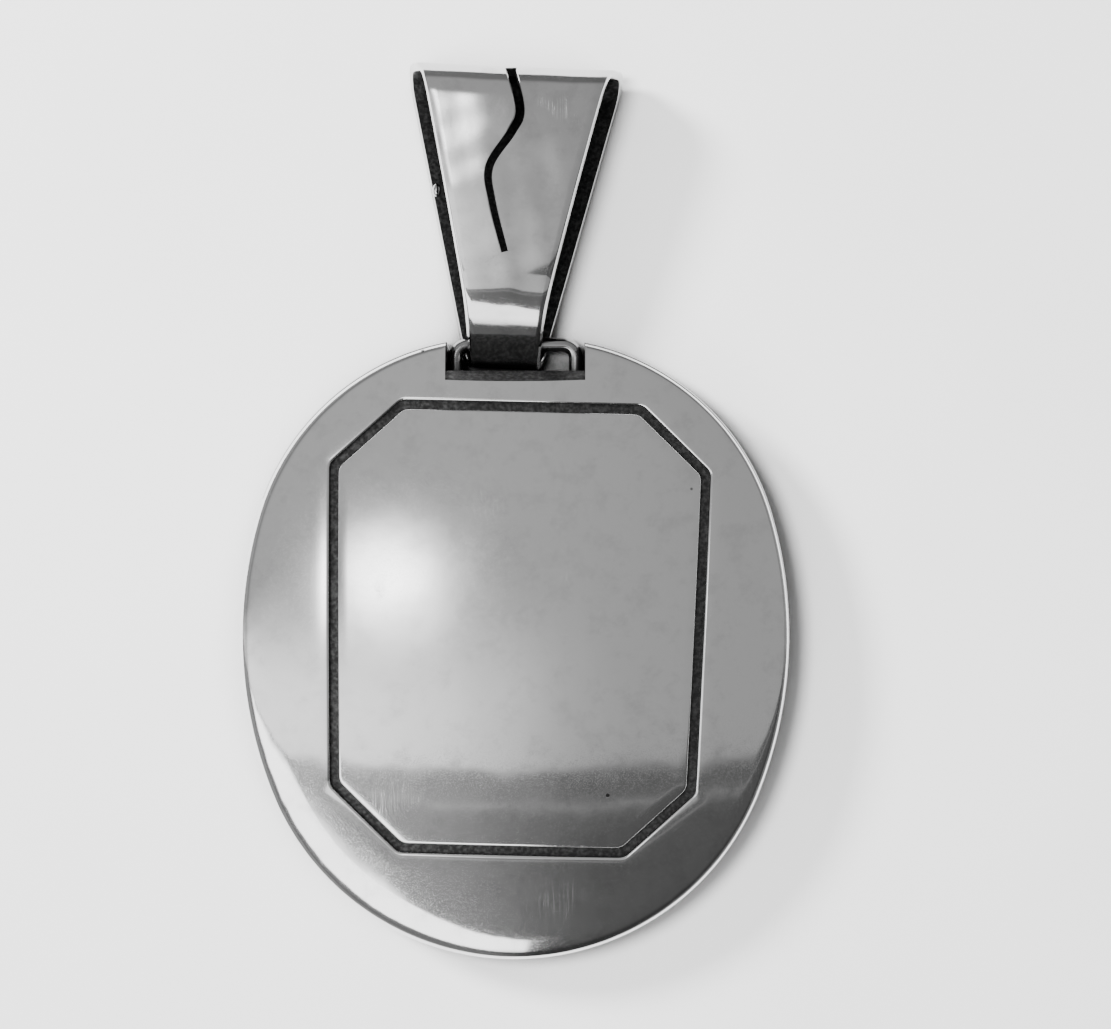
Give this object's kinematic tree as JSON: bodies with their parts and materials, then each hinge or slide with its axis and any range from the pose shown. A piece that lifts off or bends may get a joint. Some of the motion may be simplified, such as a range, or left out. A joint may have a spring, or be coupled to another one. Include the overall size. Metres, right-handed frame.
{
  "type": "locket",
  "caption": "Domed oval locket with an octagonal front panel, a hidden side hinge and a folded bail on a wire loop.",
  "frame": {"origin": "centre of the oval on the flat back face, which lies on z = 0", "axes": "+Z out of the domed front, +Y towards the bail, +X away from the hinge"},
  "size_m": [0.0382, 0.0627, 0.0074],
  "materials": {
    "silver_polished": "hand-polished silver with fine scratches",
    "silver_bail": "hand-polished silver with fine scratches and darkened edges",
    "silver_satin": "pickled and lightly brushed silver",
    "hinge_wire": "drawn silver tube and wire",
    "window_film": "clear acetate",
    "card": "matt blank card"
  },
  "bodies": {
    "back_half": {"back_shell": "silver_polished", "snap_lip": "silver_satin", "catch_bead": "silver_satin", "back_picture_card": "card", "back_window": "window_film", "back_picture_frame": "silver_satin", "hinge_knuckles_back": "hinge_wire", "hinge_pin": "hinge_wire", "bail_loop": "silver_bail"},
    "cover": {"front_shell": "silver_polished", "octagon_panel": "silver_polished", "front_liner": "silver_satin", "front_picture_card": "card", "front_window": "window_film", "front_picture_frame": "silver_satin", "hinge_knuckle_front": "hinge_wire"},
    "bail": {"bail_front": "silver_bail", "bail_back": "silver_bail"}
  },
  "joints": [
    {"name": "cover_hinge", "type": "hinge", "parent": "back_half", "child": "cover", "pos_m": [-0.01825, 0.0009, 0.0024], "axis": [0, -1, 0], "range_deg": [0, 145]},
    {"name": "bail_swing", "type": "hinge", "parent": "back_half", "child": "bail", "pos_m": [0.00007, 0.0212, 0.00185], "axis": [1, 0, 0], "range_deg": [-60, 48]}
  ]
}
